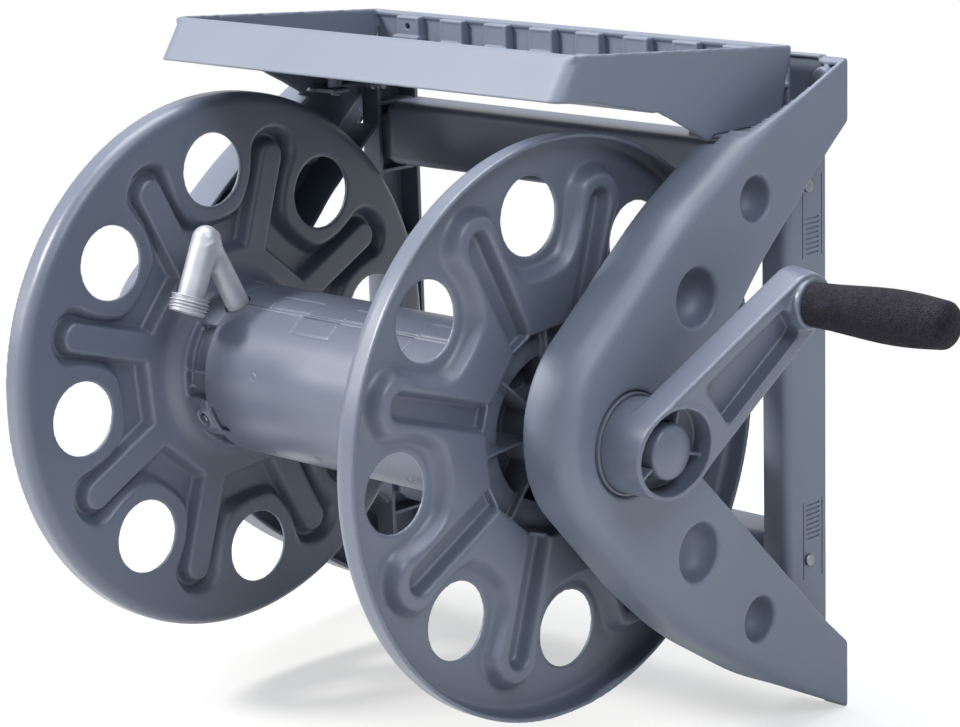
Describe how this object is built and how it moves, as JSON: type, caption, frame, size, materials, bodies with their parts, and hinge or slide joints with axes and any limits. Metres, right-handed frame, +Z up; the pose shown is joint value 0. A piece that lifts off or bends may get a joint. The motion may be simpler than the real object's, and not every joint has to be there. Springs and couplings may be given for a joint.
{
  "type": "wall mounted hose reel",
  "caption": "Hose reel on a wall frame: flanged drum with a water outlet, side crank with a turning foam grip, swivelling inlet, and an open tray on top.",
  "frame": {"origin": "on the wall plane, at the centre of the four wall screw holes", "axes": "+X along the reel's axle towards the crank, +Y into the wall, +Z up"},
  "size_m": [0.6333, 0.403, 0.4655],
  "materials": {
    "frame_plastic": "moulded, satin",
    "reel_plastic": "moulded, satin",
    "outlet_metal": "cast, matt",
    "foam": "foam",
    "seal": "smooth",
    "bearing_plastic": "smooth",
    "steel": "zinc plated"
  },
  "bodies": {
    "frame": {"left_post": "frame_plastic", "right_post": "frame_plastic", "upper_crossbar": "frame_plastic", "lower_crossbar": "frame_plastic", "left_arm": "frame_plastic", "right_arm": "frame_plastic", "tray": "frame_plastic", "post_screws": "steel", "arm_screws": "steel", "tray_screws": "steel", "inlet_tube": "bearing_plastic", "inlet_screws": "steel", "o_rings": "seal", "crank_bushing": "bearing_plastic"},
    "reel": {"left_flange": "reel_plastic", "right_flange": "reel_plastic", "left_hub": "reel_plastic", "right_hub": "reel_plastic", "front_drum_shell": "reel_plastic", "rear_drum_shell": "reel_plastic", "drum_screws": "steel", "outlet_gooseneck": "outlet_metal", "crank": "reel_plastic", "crank_screw": "steel", "crank_washer": "steel", "crank_cap": "reel_plastic", "handle_pin": "steel", "handle_nut": "steel"},
    "grip": {"grip_core": "bearing_plastic", "foam_grip": "foam"},
    "inlet_coupling": {"inlet_nut": "outlet_metal", "inlet_washer": "seal"}
  },
  "joints": [
    {"name": "reel_spin", "type": "hinge", "parent": "frame", "child": "reel", "pos_m": [0, -0.218, 0.005], "axis": [1, 0, 0], "continuous": true},
    {"name": "grip_spin", "type": "hinge", "parent": "reel", "child": "grip", "pos_m": [0.33, -0.12097, 0.08301], "axis": [1, 0, 0], "continuous": true},
    {"name": "inlet_spin", "type": "hinge", "parent": "frame", "child": "inlet_coupling", "pos_m": [-0.24, -0.218, 0.005], "axis": [1, 0, 0], "continuous": true}
  ]
}
